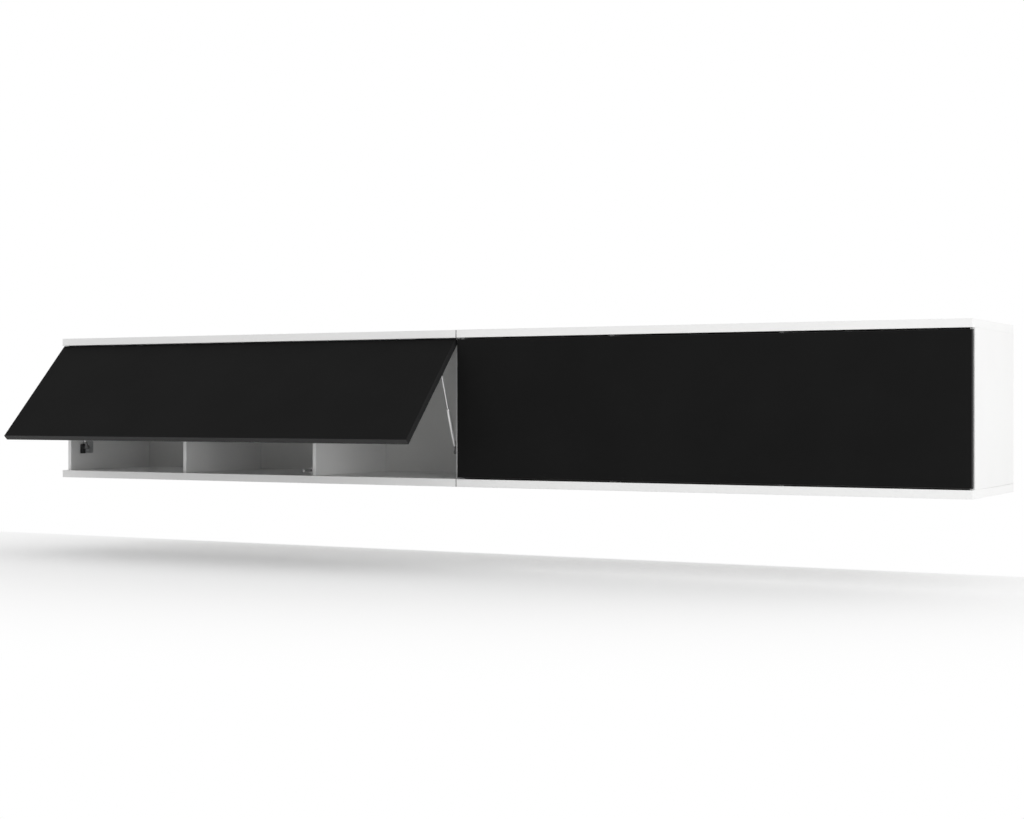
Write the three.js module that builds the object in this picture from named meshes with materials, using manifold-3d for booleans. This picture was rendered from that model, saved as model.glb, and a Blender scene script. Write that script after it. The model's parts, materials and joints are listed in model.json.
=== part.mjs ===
// Floating media console: two equal cabinets hung side by side, each with one flap that swings up.
// Lengths are millimetres. X runs along the wall, Y into the wall, Z up.
// The origin lies on the wall plane, in the seam between the cabinets, at the height of the wall rails.
// Inside a cabinet, x runs from its left end, y from its front face to the wall, z from its underside.
// Inside a flap, the origin lies on the hinge axis, and the flap hangs shut along -z.
// Inside a strut, the origin lies on the pivot at the flap, and the strut runs along -z.

import * as THREE from "three";
import { mergeVertices } from "three/addons/utils/BufferGeometryUtils.js";
import Module from "manifold-3d";

const wasm = await Module();
wasm.setup();

// Cabinet
const cabinetWidth = 1050;
const cabinetHeight = 320;
const cabinetDepth = 320;
const seamGap = 1.6;
const boardThickness = 16;
const panelThickness = 9;
const dividerCentreShares = [0.3245, 0.657];

// Back panel, held in grooves
const backThickness = 3;
const wallSpace = 18;
const boardGrooveDepth = 5;
const panelGrooveDepth = 4;
const grooveClearance = 0.3;

// Flap, and the gaps around it: less at the free end of a cabinet than at the seam
const flapThickness = 13;
const flapEndGap = 0.6;
const flapSeamGap = 2.1;
const flapTopGap = 3;
const flapBottomGap = 2.5;
const flapRearGap = 6;
const flapLimitDegrees = 85;
const leftOpenDegrees = 43.5;
const rightOpenDegrees = 0;

// Flap hinges: a leaf with the pin under the top board, and a leaf with two ears on the flap
const hingeCentreShares = [0.08, 0.5, 0.92];
const hingeAxisDepth = 6;
const hingeAxisDrop = 6;
const hingeWidth = 44;
const earThickness = 3;
const knuckleRadius = 3.2;
const pinRadius = 1.5;
const leafThickness = 1.8;
const pocketClearance = 0.5;
const pocketDrop = 9;
const flapLeafLength = 24;
const boardLeafGap = 4;
const boardLeafLength = 34;

// Gas struts, one near each end panel of a cabinet
const strutOffset = 19.5;
const strutFlapDrop = 48.4;
const strutFlapStandoff = 11;
const strutFootDepth = 51.5;
const strutFootHeight = 53;
const cylinderRadius = 4;
const cylinderLength = 95.4;
const cylinderRim = 0.8;
const boreFloor = 4.4;
const rodRadius = 1.5;
const rodOverlap = 4.7;
const endRadius = 4.5;
const endWidth = 8;
const endNeckRadius = 2.8;
const endNeckLength = 14;
const studRadius = 2.4;
const studDepth = 6;

// Brackets of the gas struts
const bracketThickness = 2;
const flapBracketWidth = 18;
const flapBracketLength = 30;
const flapBracketEarRadius = 4;
const sideBracketFront = 5;
const sideBracketDepth = 46;
const sideBracketDrop = 15;
const sideBracketHeight = 29;
const sideStudRadius = 4;

// Push latch, at the foot of the second divider
const latchRadius = 6;
const latchFloor = 6;
const latchFrontGap = 4.3;
const latchHeight = 10.5;
const latchSideGap = 0.5;
const latchFootWidth = 10;
const latchFootDepth = 34;
const latchFootSetback = 8;
const plungerRadius = 2.5;
const plungerLength = 54;
const plungerHeadRadius = 3.2;
const plungerHeadLength = 2.5;
const plungerTravel = 40;
const strikeWidth = 22;
const strikeHeight = 18;
const strikeThickness = 1;
const strikeEdgeGap = 1;

// Wall rail, and the hangers that hook over its lip
const railThickness = 2;
const railHeight = 30;
const railStep = 4;
const railLipHeight = 8;
const railEndGap = 2;
const railHoleRadius = 3;
const railHoleDrop = 7;
const railHoleShares = [0.06, 0.28, 0.5, 0.72, 0.94];
const hangerWidth = 24;
const hangerBackGap = 0.8;
const hangerTopGap = 18;
const hangerAbove = 7;
const hangerBelow = 30;
const fingerLength = 6;

// Bolts that join the two cabinets through the panels at the seam
const connectorFrontSetback = 130;
const connectorBackGap = 49;
const connectorShankRadius = 3;
const connectorHeadRadius = 7;
const connectorHeadThickness = 2.5;
const connectorCollarRadius = 6;

// Gaps, overrun of the cuts, and sides of a round shape
const seatGap = 0.3;
const runningGap = 0.3;
const overrun = 5;
const roundSides = 24;

// Values that follow from the sizes above
const innerBottom = boardThickness;
const innerTop = cabinetHeight - boardThickness;
const innerLeft = panelThickness;
const innerRight = cabinetWidth - panelThickness;
const panelFront = flapThickness + flapRearGap;
const backRear = cabinetDepth - wallSpace;
const backFront = backRear - backThickness;
const connectorDepths = { front: connectorFrontSetback, rear: backFront - connectorBackGap };
const connectorHeight = cabinetHeight / 2;
const hangHeight = innerTop - hangerTopGap - hangerAbove - railHeight / 2;
const hingeHeight = innerTop - flapTopGap - hingeAxisDrop;
const flapFront = -hingeAxisDepth;
const flapBack = flapThickness - hingeAxisDepth;
const flapBottom = innerBottom + flapBottomGap - hingeHeight;
const flapSeat = flapBack + seatGap;
const leafSeat = -pocketDrop + seatGap;
const strutPivotY = flapBack + strutFlapStandoff;
const strutPivotZ = -strutFlapDrop;
const strutFootZ = innerBottom + strutFootHeight;
const boreDepth = cylinderLength - endNeckLength - boreFloor;
const dividerCentres = dividerCentreShares.map((share) => share * cabinetWidth);
const latchX = dividerCentres[1] - panelThickness / 2 - latchSideGap - latchRadius;
const latchZ = innerBottom + latchHeight;
const latchLength = plungerLength + latchFloor;
const plungerShutY = hingeAxisDepth + flapSeat + strikeThickness + seatGap;
const latchFront = plungerShutY + plungerHeadLength + latchFrontGap;

// Finishes
const whiteLaminate = { color: 0xf2f2f1, roughness: 0.45, metalness: 0 };
const whiteBack = { color: 0xeeeeec, roughness: 0.6, metalness: 0 };
const blackLaminate = { color: 0x1c1c1c, roughness: 0.55, metalness: 0 };
const brightSteel = { color: 0xc9cbcc, roughness: 0.25, metalness: 1 };
const zincSteel = { color: 0xb4b7b9, roughness: 0.45, metalness: 1 };
const darkSteel = { color: 0x2a2a2b, roughness: 0.5, metalness: 0.6 };
const greyPlastic = { color: 0xa9abac, roughness: 0.5, metalness: 0 };

// Closed mesh to solid, for cuts and joins
function toSolid(geometry) {
  const bare = geometry.index ? geometry.toNonIndexed() : geometry.clone();
  bare.deleteAttribute("normal");
  bare.deleteAttribute("uv");
  const merged = mergeVertices(bare);
  const mesh = new wasm.Mesh({
    numProp: 3,
    vertProperties: merged.attributes.position.array,
    triVerts: new Uint32Array(merged.index.array),
  });
  return new wasm.Manifold(mesh);
}

function toGeometry(solid) {
  const mesh = solid.getMesh();
  const indexed = new THREE.BufferGeometry();
  indexed.setAttribute("position", new THREE.BufferAttribute(mesh.vertProperties, mesh.numProp));
  indexed.setIndex(new THREE.BufferAttribute(mesh.triVerts, 1));
  const flat = indexed.toNonIndexed();
  flat.computeVertexNormals();
  return flat;
}

function join(...geometries) {
  const solids = geometries.map(toSolid);
  return toGeometry(solids.reduce((whole, next) => whole.add(next)));
}

function cut(geometry, ...tools) {
  const solids = tools.map(toSolid);
  return toGeometry(solids.reduce((rest, tool) => rest.subtract(tool), toSolid(geometry)));
}

// Box between two values on each axis, given in either order
function block(xRange, yRange, zRange) {
  const box = new THREE.BoxGeometry(1, 1, 1);
  const corners = box.getAttribute("position");
  const pick = (range, place) => (place < 0 ? Math.min(...range) : Math.max(...range));
  for (let i = 0; i < corners.count; i += 1) {
    const x = pick(xRange, corners.getX(i));
    const y = pick(yRange, corners.getY(i));
    const z = pick(zRange, corners.getZ(i));
    corners.setXYZ(i, x, y, z);
  }
  return box;
}

function roundX(radius, xRange, y, z) {
  const [a, b] = xRange;
  const round = new THREE.CylinderGeometry(radius, radius, Math.abs(b - a), roundSides);
  return round.rotateZ(-Math.PI / 2).translate((a + b) / 2, y, z);
}

function roundY(radius, yRange, x, z) {
  const [a, b] = yRange;
  const round = new THREE.CylinderGeometry(radius, radius, Math.abs(b - a), roundSides);
  return round.translate(x, (a + b) / 2, z);
}

// Outline of y and z points, run along x
function runX(points, xRange) {
  const [a, b] = xRange;
  const outline = new THREE.Shape(points.map(([y, z]) => new THREE.Vector2(y, z)));
  const run = new THREE.ExtrudeGeometry(outline, { depth: Math.abs(b - a), bevelEnabled: false });
  const alongX = new THREE.Matrix4().makeBasis(
    new THREE.Vector3(0, 1, 0),
    new THREE.Vector3(0, 0, 1),
    new THREE.Vector3(1, 0, 0),
  );
  return run.applyMatrix4(alongX).translate(Math.min(a, b), 0, 0);
}

// Outline of radius and height points, turned about z
function turnZ(points) {
  const outline = points.map(([radius, z]) => new THREE.Vector2(radius, z));
  return new THREE.LatheGeometry(outline, roundSides).rotateX(Math.PI / 2);
}

function addPiece(group, name, geometry, finish) {
  const piece = new THREE.Mesh(geometry, new THREE.MeshStandardMaterial(finish));
  piece.name = name;
  group.add(piece);
}

// Top and bottom boards, each with a stopped groove for the back panel
function addBoards(cabinet, side) {
  const width = [0, cabinetWidth];
  const depth = [0, cabinetDepth];
  const grooveX = [innerLeft - panelGrooveDepth, innerRight + panelGrooveDepth];
  const grooveY = [backFront - grooveClearance, backRear + grooveClearance];
  const top = block(width, depth, [innerTop, cabinetHeight]);
  const topGroove = block(grooveX, grooveY, [innerTop - overrun, innerTop + boardGrooveDepth]);
  addPiece(cabinet, `${side}_top_board`, cut(top, topGroove), whiteLaminate);
  const bottom = block(width, depth, [0, innerBottom]);
  const bottomGroove = block(grooveX, grooveY, [innerBottom - boardGrooveDepth, innerBottom + overrun]);
  addPiece(cabinet, `${side}_bottom_board`, cut(bottom, bottomGroove), whiteLaminate);
}

// End panels, grooved for the back panel, and drilled for the connectors on the side of the seam
function addEndPanels(cabinet, side) {
  const ends = [
    { name: "left_end", outer: 0, inner: innerLeft, deepest: innerLeft - panelGrooveDepth },
    { name: "right_end", outer: cabinetWidth, inner: innerRight, deepest: innerRight + panelGrooveDepth },
  ];
  const grooveY = [backFront - grooveClearance, backRear + grooveClearance];
  const grooveZ = [innerBottom - overrun, innerTop + overrun];
  for (const { name, outer, inner, deepest } of ends) {
    const panel = block([outer, inner], [panelFront, cabinetDepth], [innerBottom, innerTop]);
    const past = inner + Math.sign(inner - outer) * overrun;
    const cuts = [block([deepest, past], grooveY, grooveZ)];
    if (!name.startsWith(side)) {
      const holeX = [-overrun, cabinetWidth + overrun];
      const holes = Object.values(connectorDepths).map((depth) =>
        roundX(connectorShankRadius + runningGap, holeX, depth, connectorHeight),
      );
      cuts.push(...holes);
    }
    addPiece(cabinet, `${side}_${name}_panel`, cut(panel, ...cuts), whiteLaminate);
  }
}

function addDividers(cabinet, side) {
  dividerCentres.forEach((centre, index) => {
    const width = [centre - panelThickness / 2, centre + panelThickness / 2];
    const divider = block(width, [panelFront, backFront], [innerBottom, innerTop]);
    addPiece(cabinet, `${side}_divider_${index + 1}`, divider, whiteLaminate);
  });
}

function addBackPanel(cabinet, side) {
  const inPanel = panelGrooveDepth - grooveClearance;
  const inBoard = boardGrooveDepth - grooveClearance;
  const width = [innerLeft - inPanel, innerRight + inPanel];
  const height = [innerBottom - inBoard, innerTop + inBoard];
  addPiece(cabinet, `${side}_back_panel`, block(width, [backFront, backRear], height), whiteBack);
}

// Flap, with a pocket for each hinge that is open to its back and its top edge
function addFlap(flap, side) {
  const [leftGap, rightGap] = side === "left" ? [flapEndGap, flapSeamGap] : [flapSeamGap, flapEndGap];
  const width = [leftGap, cabinetWidth - rightGap];
  const body = block(width, [flapFront, flapBack], [flapBottom, hingeAxisDrop]);
  const half = hingeWidth / 2 + pocketClearance;
  const pocketY = [-knuckleRadius - pocketClearance, flapBack + overrun];
  const pocketZ = [-pocketDrop, hingeAxisDrop + overrun];
  const pockets = hingeCentreShares.map((share) => {
    const centre = share * cabinetWidth;
    return block([centre - half, centre + half], pocketY, pocketZ);
  });
  addPiece(flap, `${side}_flap`, cut(body, ...pockets), blackLaminate);
}

// Leaf on the flap: a plate on its back, a shelf into the pocket, and two ears around the pin
function addFlapLeaf(flap, name, centre) {
  const left = centre - hingeWidth / 2;
  const right = centre + hingeWidth / 2;
  const plateBack = flapSeat + leafThickness;
  const shelfTop = leafSeat + leafThickness;
  const plate = block([left, right], [flapSeat, plateBack], [-pocketDrop - flapLeafLength, shelfTop]);
  const shelf = block([left, right], [-knuckleRadius, plateBack], [leafSeat, shelfTop]);
  const ears = [[left, left + earThickness], [right - earThickness, right]].flatMap((width) => [
    block(width, [-knuckleRadius, knuckleRadius], [leafSeat, 0]),
    roundX(knuckleRadius, width, 0, 0),
  ]);
  const pinHole = roundX(pinRadius + runningGap, [left - overrun, right + overrun], 0, 0);
  addPiece(flap, name, cut(join(plate, shelf, ...ears), pinHole), darkSteel);
}

// Leaf under the top board: a plate, a cranked arm, a barrel between the ears, and the pin
function addBoardLeaf(cabinet, name, centre) {
  const half = hingeWidth / 2 - earThickness - runningGap;
  const width = [centre - half, centre + half];
  const legFront = flapThickness + boardLeafGap;
  const legBack = legFront + leafThickness;
  const plateBack = legFront + boardLeafLength;
  const armZ = [hingeHeight - leafThickness / 2, hingeHeight + leafThickness / 2];
  const plate = block(width, [legFront, plateBack], [innerTop - leafThickness, innerTop]);
  const leg = block(width, [legFront, legBack], [armZ[0], innerTop]);
  const arm = block(width, [hingeAxisDepth, legBack], armZ);
  const barrel = roundX(knuckleRadius, width, hingeAxisDepth, hingeHeight);
  const pinWidth = [centre - hingeWidth / 2, centre + hingeWidth / 2];
  const pin = roundX(pinRadius, pinWidth, hingeAxisDepth, hingeHeight);
  addPiece(cabinet, name, join(plate, leg, arm, barrel, pin), darkSteel);
}

// Where a strut lies when the flap stands open at an angle, seen from the end of the cabinet
function strutPose(openAngle) {
  const pivotY = hingeAxisDepth + strutPivotY * Math.cos(openAngle) + strutPivotZ * Math.sin(openAngle);
  const pivotZ = hingeHeight - strutPivotY * Math.sin(openAngle) + strutPivotZ * Math.cos(openAngle);
  const reachY = strutFootDepth - pivotY;
  const reachZ = pivotZ - strutFootZ;
  return { pivotY, pivotZ, lean: Math.atan2(reachY, reachZ), length: Math.hypot(reachY, reachZ) };
}

// Rod of a strut, with the end that turns on the stud of the flap bracket
// It still reaches into the cylinder when the flap stands at its limit
function addRod(strut, name, outward) {
  const longest = strutPose(THREE.MathUtils.degToRad(flapLimitDegrees)).length;
  const rodLength = longest - cylinderLength + rodOverlap;
  const shaft = turnZ([
    [0, -rodLength],
    [rodRadius, -rodLength],
    [rodRadius, -endNeckLength],
    [endNeckRadius, -endNeckLength],
    [endNeckRadius, 0],
    [0, 0],
  ]);
  const half = endWidth / 2;
  const end = roundX(endRadius, [-half, half], 0, 0);
  const socketX = [outward * (half + overrun), outward * (half - studDepth - runningGap)];
  const socket = roundX(studRadius + runningGap, socketX, 0, 0);
  addPiece(strut, name, cut(join(shaft, end), socket), brightSteel);
}

// Cylinder of a strut, open at its upper end, with a flat end beside the stud of the side bracket
function addCylinder(strut, name, length) {
  const foot = -length;
  const top = foot + cylinderLength;
  const tube = turnZ([
    [0, foot],
    [endNeckRadius, foot],
    [endNeckRadius, foot + endNeckLength],
    [cylinderRadius, foot + endNeckLength],
    [cylinderRadius, top - cylinderRim],
    [cylinderRadius - cylinderRim, top],
    [rodRadius + runningGap, top],
    [rodRadius + runningGap, top - boreDepth],
    [0, top - boreDepth],
  ]);
  const end = roundX(endRadius, [-endWidth / 2, endWidth / 2], 0, foot);
  addPiece(strut, name, join(tube, end), brightSteel);
}

// Bracket on the flap: a base plate, an ear beside the rod end, and the stud in its socket
function addFlapBracket(flap, name, strutX, outward) {
  const half = endWidth / 2;
  const earInner = strutX + outward * (half + runningGap);
  const earOuter = earInner + outward * bracketThickness;
  const earX = [earInner, earOuter];
  const earZ = [strutPivotZ - flapBracketEarRadius, strutPivotZ + flapBracketEarRadius];
  const baseX = [earOuter, earOuter - outward * flapBracketWidth];
  const baseZ = [strutPivotZ - flapBracketLength / 2, strutPivotZ + flapBracketLength / 2];
  const bracket = join(
    block(baseX, [flapSeat, flapSeat + bracketThickness], baseZ),
    block(earX, [flapSeat, strutPivotY], earZ),
    roundX(flapBracketEarRadius, earX, strutPivotY, strutPivotZ),
    roundX(studRadius, [earOuter, strutX + outward * (half - studDepth)], strutPivotY, strutPivotZ),
  );
  addPiece(flap, name, bracket, zincSteel);
}

// Bracket on the end panel: a base plate, and a stud that stops just short of the cylinder's end
function addSideBracket(cabinet, name, panelX, strutX, outward) {
  const plateX = [panelX, panelX - outward * bracketThickness];
  const front = strutFootDepth - sideBracketFront;
  const bottom = strutFootZ - sideBracketDrop;
  const plate = block(plateX, [front, front + sideBracketDepth], [bottom, bottom + sideBracketHeight]);
  const studX = [panelX, strutX + outward * (endWidth / 2 + runningGap)];
  const stud = roundX(sideStudRadius, studX, strutFootDepth, strutFootZ);
  addPiece(cabinet, name, join(plate, stud), zincSteel);
}

function addStruts(cabinet, flap, side, openAngle) {
  const { pivotY, pivotZ, lean, length } = strutPose(openAngle);
  const ends = [
    { number: 1, panelX: innerLeft, outward: -1 },
    { number: 2, panelX: innerRight, outward: 1 },
  ];
  for (const { number, panelX, outward } of ends) {
    const strutX = panelX - outward * strutOffset;
    const strut = new THREE.Group();
    strut.position.set(strutX, pivotY, pivotZ);
    strut.rotation.x = lean;
    cabinet.add(strut);
    const name = `${side}_strut_${number}`;
    addRod(strut, `${name}_rod`, outward);
    addCylinder(strut, `${name}_cylinder`, length);
    addFlapBracket(flap, `${name}_flap_bracket`, strutX, outward);
    addSideBracket(cabinet, `${name}_side_bracket`, panelX, strutX, outward);
  }
}

// Push latch: the body with its foot, the plunger, and the strike plate on the flap
function addLatch(cabinet, flap, side, openShare) {
  const dividerFace = dividerCentres[1] - panelThickness / 2;
  const footY = [latchFront + latchFootSetback, latchFront + latchFootSetback + latchFootDepth];
  const bore = roundY(
    plungerRadius + runningGap,
    [latchFront - overrun, latchFront + plungerLength],
    latchX,
    latchZ,
  );
  const body = join(
    roundY(latchRadius, [latchFront, latchFront + latchLength], latchX, latchZ),
    block([latchX - latchFootWidth / 2, dividerFace], footY, [innerBottom, latchZ]),
  );
  addPiece(cabinet, `${side}_latch_body`, cut(body, bore), greyPlastic);

  const headFront = plungerShutY - plungerTravel * openShare;
  const headBack = headFront + plungerHeadLength;
  const plunger = join(
    roundY(plungerHeadRadius, [headFront, headBack], latchX, latchZ),
    roundY(plungerRadius, [headFront, headFront + plungerLength], latchX, latchZ),
  );
  addPiece(cabinet, `${side}_latch_plunger`, plunger, greyPlastic);

  const strikeX = [latchX - strikeWidth / 2, latchX + strikeWidth / 2];
  const strikeBottom = flapBottom + strikeEdgeGap;
  const strikeZ = [strikeBottom, strikeBottom + strikeHeight];
  const strike = block(strikeX, [flapSeat, flapSeat + strikeThickness], strikeZ);
  addPiece(flap, `${side}_latch_strike`, strike, zincSteel);
}

// Wall rail: a strip on the wall that steps out into an upright lip
function addRail(cabinet, side) {
  const wall = cabinetDepth;
  const bottom = hangHeight - railHeight / 2;
  const stepFoot = bottom + railHeight - railLipHeight - railStep;
  const stepHead = stepFoot + railStep;
  const lipTop = stepHead + railLipHeight;
  const outline = [
    [wall, bottom],
    [wall, stepFoot],
    [wall - railStep, stepHead],
    [wall - railStep, lipTop],
    [wall - railStep - railThickness, lipTop],
    [wall - railStep - railThickness, stepHead],
    [wall - railThickness, stepFoot],
    [wall - railThickness, bottom],
  ];
  const left = innerLeft + railEndGap;
  const right = innerRight - railEndGap;
  const holeY = [wall - railThickness - overrun, wall + overrun];
  const holes = railHoleShares.map((share) => {
    const x = left + share * (right - left);
    return roundY(railHoleRadius, holeY, x, hangHeight - railHoleDrop);
  });
  addPiece(cabinet, `${side}_wall_rail`, cut(runX(outline, [left, right]), ...holes), zincSteel);
}

// Hangers: a block on each end panel with a finger that hooks down behind the lip of the rail
function addHangers(cabinet, side) {
  const lipFace = cabinetDepth - railStep - railThickness;
  const lipBack = cabinetDepth - railStep;
  const lipTop = hangHeight + railHeight / 2;
  const blockY = [backRear + hangerBackGap, lipFace - runningGap];
  const blockZ = [hangHeight - hangerBelow, lipTop + hangerAbove];
  const bridgeZ = [lipTop + runningGap, lipTop + hangerAbove];
  const fingerY = [lipBack + runningGap, cabinetDepth - runningGap];
  const ends = [
    { number: 1, width: [innerLeft, innerLeft + hangerWidth] },
    { number: 2, width: [innerRight, innerRight - hangerWidth] },
  ];
  for (const { number, width } of ends) {
    const hanger = join(
      block(width, blockY, blockZ),
      block(width, [blockY[0], fingerY[1]], bridgeZ),
      block(width, fingerY, [lipTop - fingerLength, lipTop + hangerAbove]),
    );
    addPiece(cabinet, `${side}_hanger_${number}`, hanger, zincSteel);
  }
}

function makeCabinet(side, startX, openDegrees) {
  const openAngle = THREE.MathUtils.degToRad(openDegrees);
  const cabinet = new THREE.Group();
  cabinet.position.set(startX, -cabinetDepth, -hangHeight);
  const flap = new THREE.Group();
  flap.position.set(0, hingeAxisDepth, hingeHeight);
  flap.rotation.x = -openAngle;
  cabinet.add(flap);

  addBoards(cabinet, side);
  addEndPanels(cabinet, side);
  addDividers(cabinet, side);
  addBackPanel(cabinet, side);
  addFlap(flap, side);
  hingeCentreShares.forEach((share, index) => {
    const centre = share * cabinetWidth;
    addFlapLeaf(flap, `${side}_hinge_${index + 1}_flap_leaf`, centre);
    addBoardLeaf(cabinet, `${side}_hinge_${index + 1}_board_leaf`, centre);
  });
  addStruts(cabinet, flap, side, openAngle);
  addLatch(cabinet, flap, side, openDegrees / flapLimitDegrees);
  addRail(cabinet, side);
  addHangers(cabinet, side);
  return cabinet;
}

// Bolt through both panels at the seam, with a head inside each cabinet and a collar between them
function addConnectors(group) {
  const panelFace = seamGap / 2 + panelThickness;
  const headInner = panelFace + seatGap;
  const headOuter = headInner + connectorHeadThickness;
  const collar = seamGap / 2 - seatGap;
  const z = connectorHeight - hangHeight;
  for (const [name, depth] of Object.entries(connectorDepths)) {
    const y = depth - cabinetDepth;
    const bolt = join(
      roundX(connectorShankRadius, [-headOuter, headOuter], y, z),
      roundX(connectorHeadRadius, [-headOuter, -headInner], y, z),
      roundX(connectorHeadRadius, [headInner, headOuter], y, z),
      roundX(connectorCollarRadius, [-collar, collar], y, z),
    );
    addPiece(group, `connector_${name}`, bolt, zincSteel);
  }
}

const mediaConsole = new THREE.Group();
mediaConsole.add(makeCabinet("left", -seamGap / 2 - cabinetWidth, leftOpenDegrees));
mediaConsole.add(makeCabinet("right", seamGap / 2, rightOpenDegrees));
addConnectors(mediaConsole);

export default mediaConsole;
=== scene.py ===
"""Looks of the floating media console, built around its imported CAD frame.

Two white cabinets hang side by side. Each has one matt black flap on knuckle hinges and gas struts.
Everything is in metres, in the frame of the CAD part: X along the wall, Y into the wall, Z up.
"""

import json
import math

import bmesh
import bpy
from mathutils import Matrix, Vector


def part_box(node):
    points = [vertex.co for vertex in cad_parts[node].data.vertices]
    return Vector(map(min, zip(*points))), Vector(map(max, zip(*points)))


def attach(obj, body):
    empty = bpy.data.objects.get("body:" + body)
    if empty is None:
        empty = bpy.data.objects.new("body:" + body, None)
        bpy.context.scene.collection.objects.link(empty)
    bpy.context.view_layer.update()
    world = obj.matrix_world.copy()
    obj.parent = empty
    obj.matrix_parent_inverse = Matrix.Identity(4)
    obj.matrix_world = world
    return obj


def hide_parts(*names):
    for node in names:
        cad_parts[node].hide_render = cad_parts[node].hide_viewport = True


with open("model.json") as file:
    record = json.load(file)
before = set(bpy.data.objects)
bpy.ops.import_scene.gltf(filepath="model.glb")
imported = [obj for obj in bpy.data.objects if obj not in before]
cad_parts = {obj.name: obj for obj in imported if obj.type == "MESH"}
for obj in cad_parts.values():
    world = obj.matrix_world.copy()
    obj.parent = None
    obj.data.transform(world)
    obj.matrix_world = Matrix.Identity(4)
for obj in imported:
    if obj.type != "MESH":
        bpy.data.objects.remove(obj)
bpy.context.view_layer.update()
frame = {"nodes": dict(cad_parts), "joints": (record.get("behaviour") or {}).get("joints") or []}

MM = 0.001
SIDES = ("left", "right")
HERE = Matrix.Identity(4)
QUARTER_TURN = math.pi / 2
TURNS = {"X": Matrix.Rotation(QUARTER_TURN, 4, "Y"), "Y": Matrix.Rotation(-QUARTER_TURN, 4, "X")}

# Tolerances: distance between points, turn between faces, share of a face or an edge along an axis
TINY = 0.05 * MM
SAME_POINT = 0.002 * MM
FLAT_ANGLE = math.radians(0.5)
SMOOTH_ANGLE = math.radians(35)
FACING = 0.9
STRAIGHT = 0.99

# Steps of round forms
ROUND_SIDES = 64
SCREW_SIDES = 32
HEXAGON_SIDES = 6
CORE_SEGMENTS = 1
EDGE_SEGMENTS = 2
BAND_SEGMENTS = 3
MOULDED_SEGMENTS = 3
CORNER_SEGMENTS = 6
ROUND_PROFILE = 0.5

# Photograph: image size in pixels, and the camera found from the console's edges
IMAGE_WIDTH = 1024
SENSOR_WIDTH = 36
FOCAL_PIXELS = 1800.83
CAMERA_PLACE = Vector((1.8365, -3.5015, -0.0979))
CAMERA_TURN = math.radians(28.21)
CAMERA_PITCH = -0.0023
CAMERA_REACH = 100

# Boards and their edge bands
BAND = 0.8 * MM
BAND_ROUND = 0.6 * MM
PANEL_ROUND = 0.5 * MM
CORE_ROUND = 0.25 * MM

# Screws, whose shares are parts of the head's radius
SCREW_RADIUS = 3.3 * MM
WALL_SCREW_RADIUS = 5.0 * MM
SCREW_TWIST = math.radians(37)
SCREW_PROFILE_SHARES = (
    (0, -0.3),
    (0.45, -0.3),
    (0.45, 0),
    (1, 0),
    (1, 0.1),
    (0.93, 0.2),
    (0.75, 0.31),
    (0.45, 0.39),
    (0, 0.42),
)
RECESS_REACH_SHARE = 0.55
RECESS_WIDTH_SHARE = 0.13
RECESS_FLOOR_SHARE = 0.12
RECESS_TOP_SHARE = 1

# Pressed steel fittings
STEEL_ROUND = 0.3 * MM
LEAF_THICKNESS = 1.8 * MM
LEAF_SCREW_REACH = 12.5 * MM
LEAF_SCREW_EDGE = 8 * MM
BRACKET_THICKNESS = 2 * MM
BRACKET_SCREW_REACH = 10 * MM
BRACKET_SCREW_EDGE = 7 * MM
BRACKET_CORNER = 4 * MM
HOUSING_FRONT = 2.5 * MM
HOUSING_BACK = 13.5 * MM
HOUSING_DEPTH = 6 * MM
HOUSING_HEIGHT = 22 * MM
HOUSING_ROUND = 1.5 * MM
STUD_RADIUS = 4 * MM
STUD_SETBACK = 5 * MM
STUD_RISE = 15 * MM
STUD_CHAMFER = 0.5 * MM
STRIKE_CORNER = 3 * MM
STRIKE_SCREW_REACH = 7 * MM
STRIKE_SCREW_RADIUS = 2.4 * MM
HANGER_ROUND = 0.8 * MM
HANGER_SCREW_DROP = 14 * MM
RAIL_THICKNESS = 2 * MM
RAIL_HOLE_DROP = 7 * MM
RAIL_HOLE_SHARES = (0.06, 0.28, 0.5, 0.72, 0.94)

# Gas struts
ROD_RADIUS = 1.5 * MM
ROD_NECK = 22 * MM
ROD_CHAMFER = 0.3 * MM
TUBE_RADIUS = 4 * MM
TUBE_SHOULDER = 1.2 * MM
TUBE_GAP = 0.3 * MM
BORE_DEPTH = 77 * MM
FOOT_NECK = 14 * MM
GROOVE_DEPTH = 0.4 * MM
GROOVE_WIDTH = 1.4 * MM
GROOVE_DROPS = (8.6 * MM, 3.4 * MM)
EYE_CHAMFER = 0.8 * MM
NECK_RADIUS = 2.8 * MM
NECK_FLARE = 3.3 * MM
NECK_FLARE_RISE = 3 * EYE_CHAMFER
STUD_HOLE_RADIUS = 2.7 * MM
STUD_HOLE_DEPTH = 6.3 * MM
DRILL_LENGTH = 1

# Push latch
LATCH_RADIUS = 6 * MM
LATCH_WAIST = 5.5 * MM
LATCH_COLLAR = 3 * MM
LATCH_BORE = 2.8 * MM
LATCH_BORE_DEPTH = 54 * MM
LATCH_MOUTH = 3.7 * MM
LATCH_MOUTH_DEPTH = 5 * MM
LATCH_CHAMFER = 0.5 * MM
LATCH_FOOT_WIDTH = 10 * MM
LATCH_FOOT_SETBACK = 8 * MM
LATCH_FOOT_DEPTH = 34 * MM
LATCH_FOOT_ROUND = 1 * MM
PLUNGER_RADIUS = 2.5 * MM
PLUNGER_HEAD_RADIUS = 3.2 * MM
PLUNGER_HEAD_LENGTH = 2.5 * MM
PLUNGER_CHAMFER = 0.6 * MM
PLUNGER_TIP_SEAT = 0.1 * MM

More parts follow.
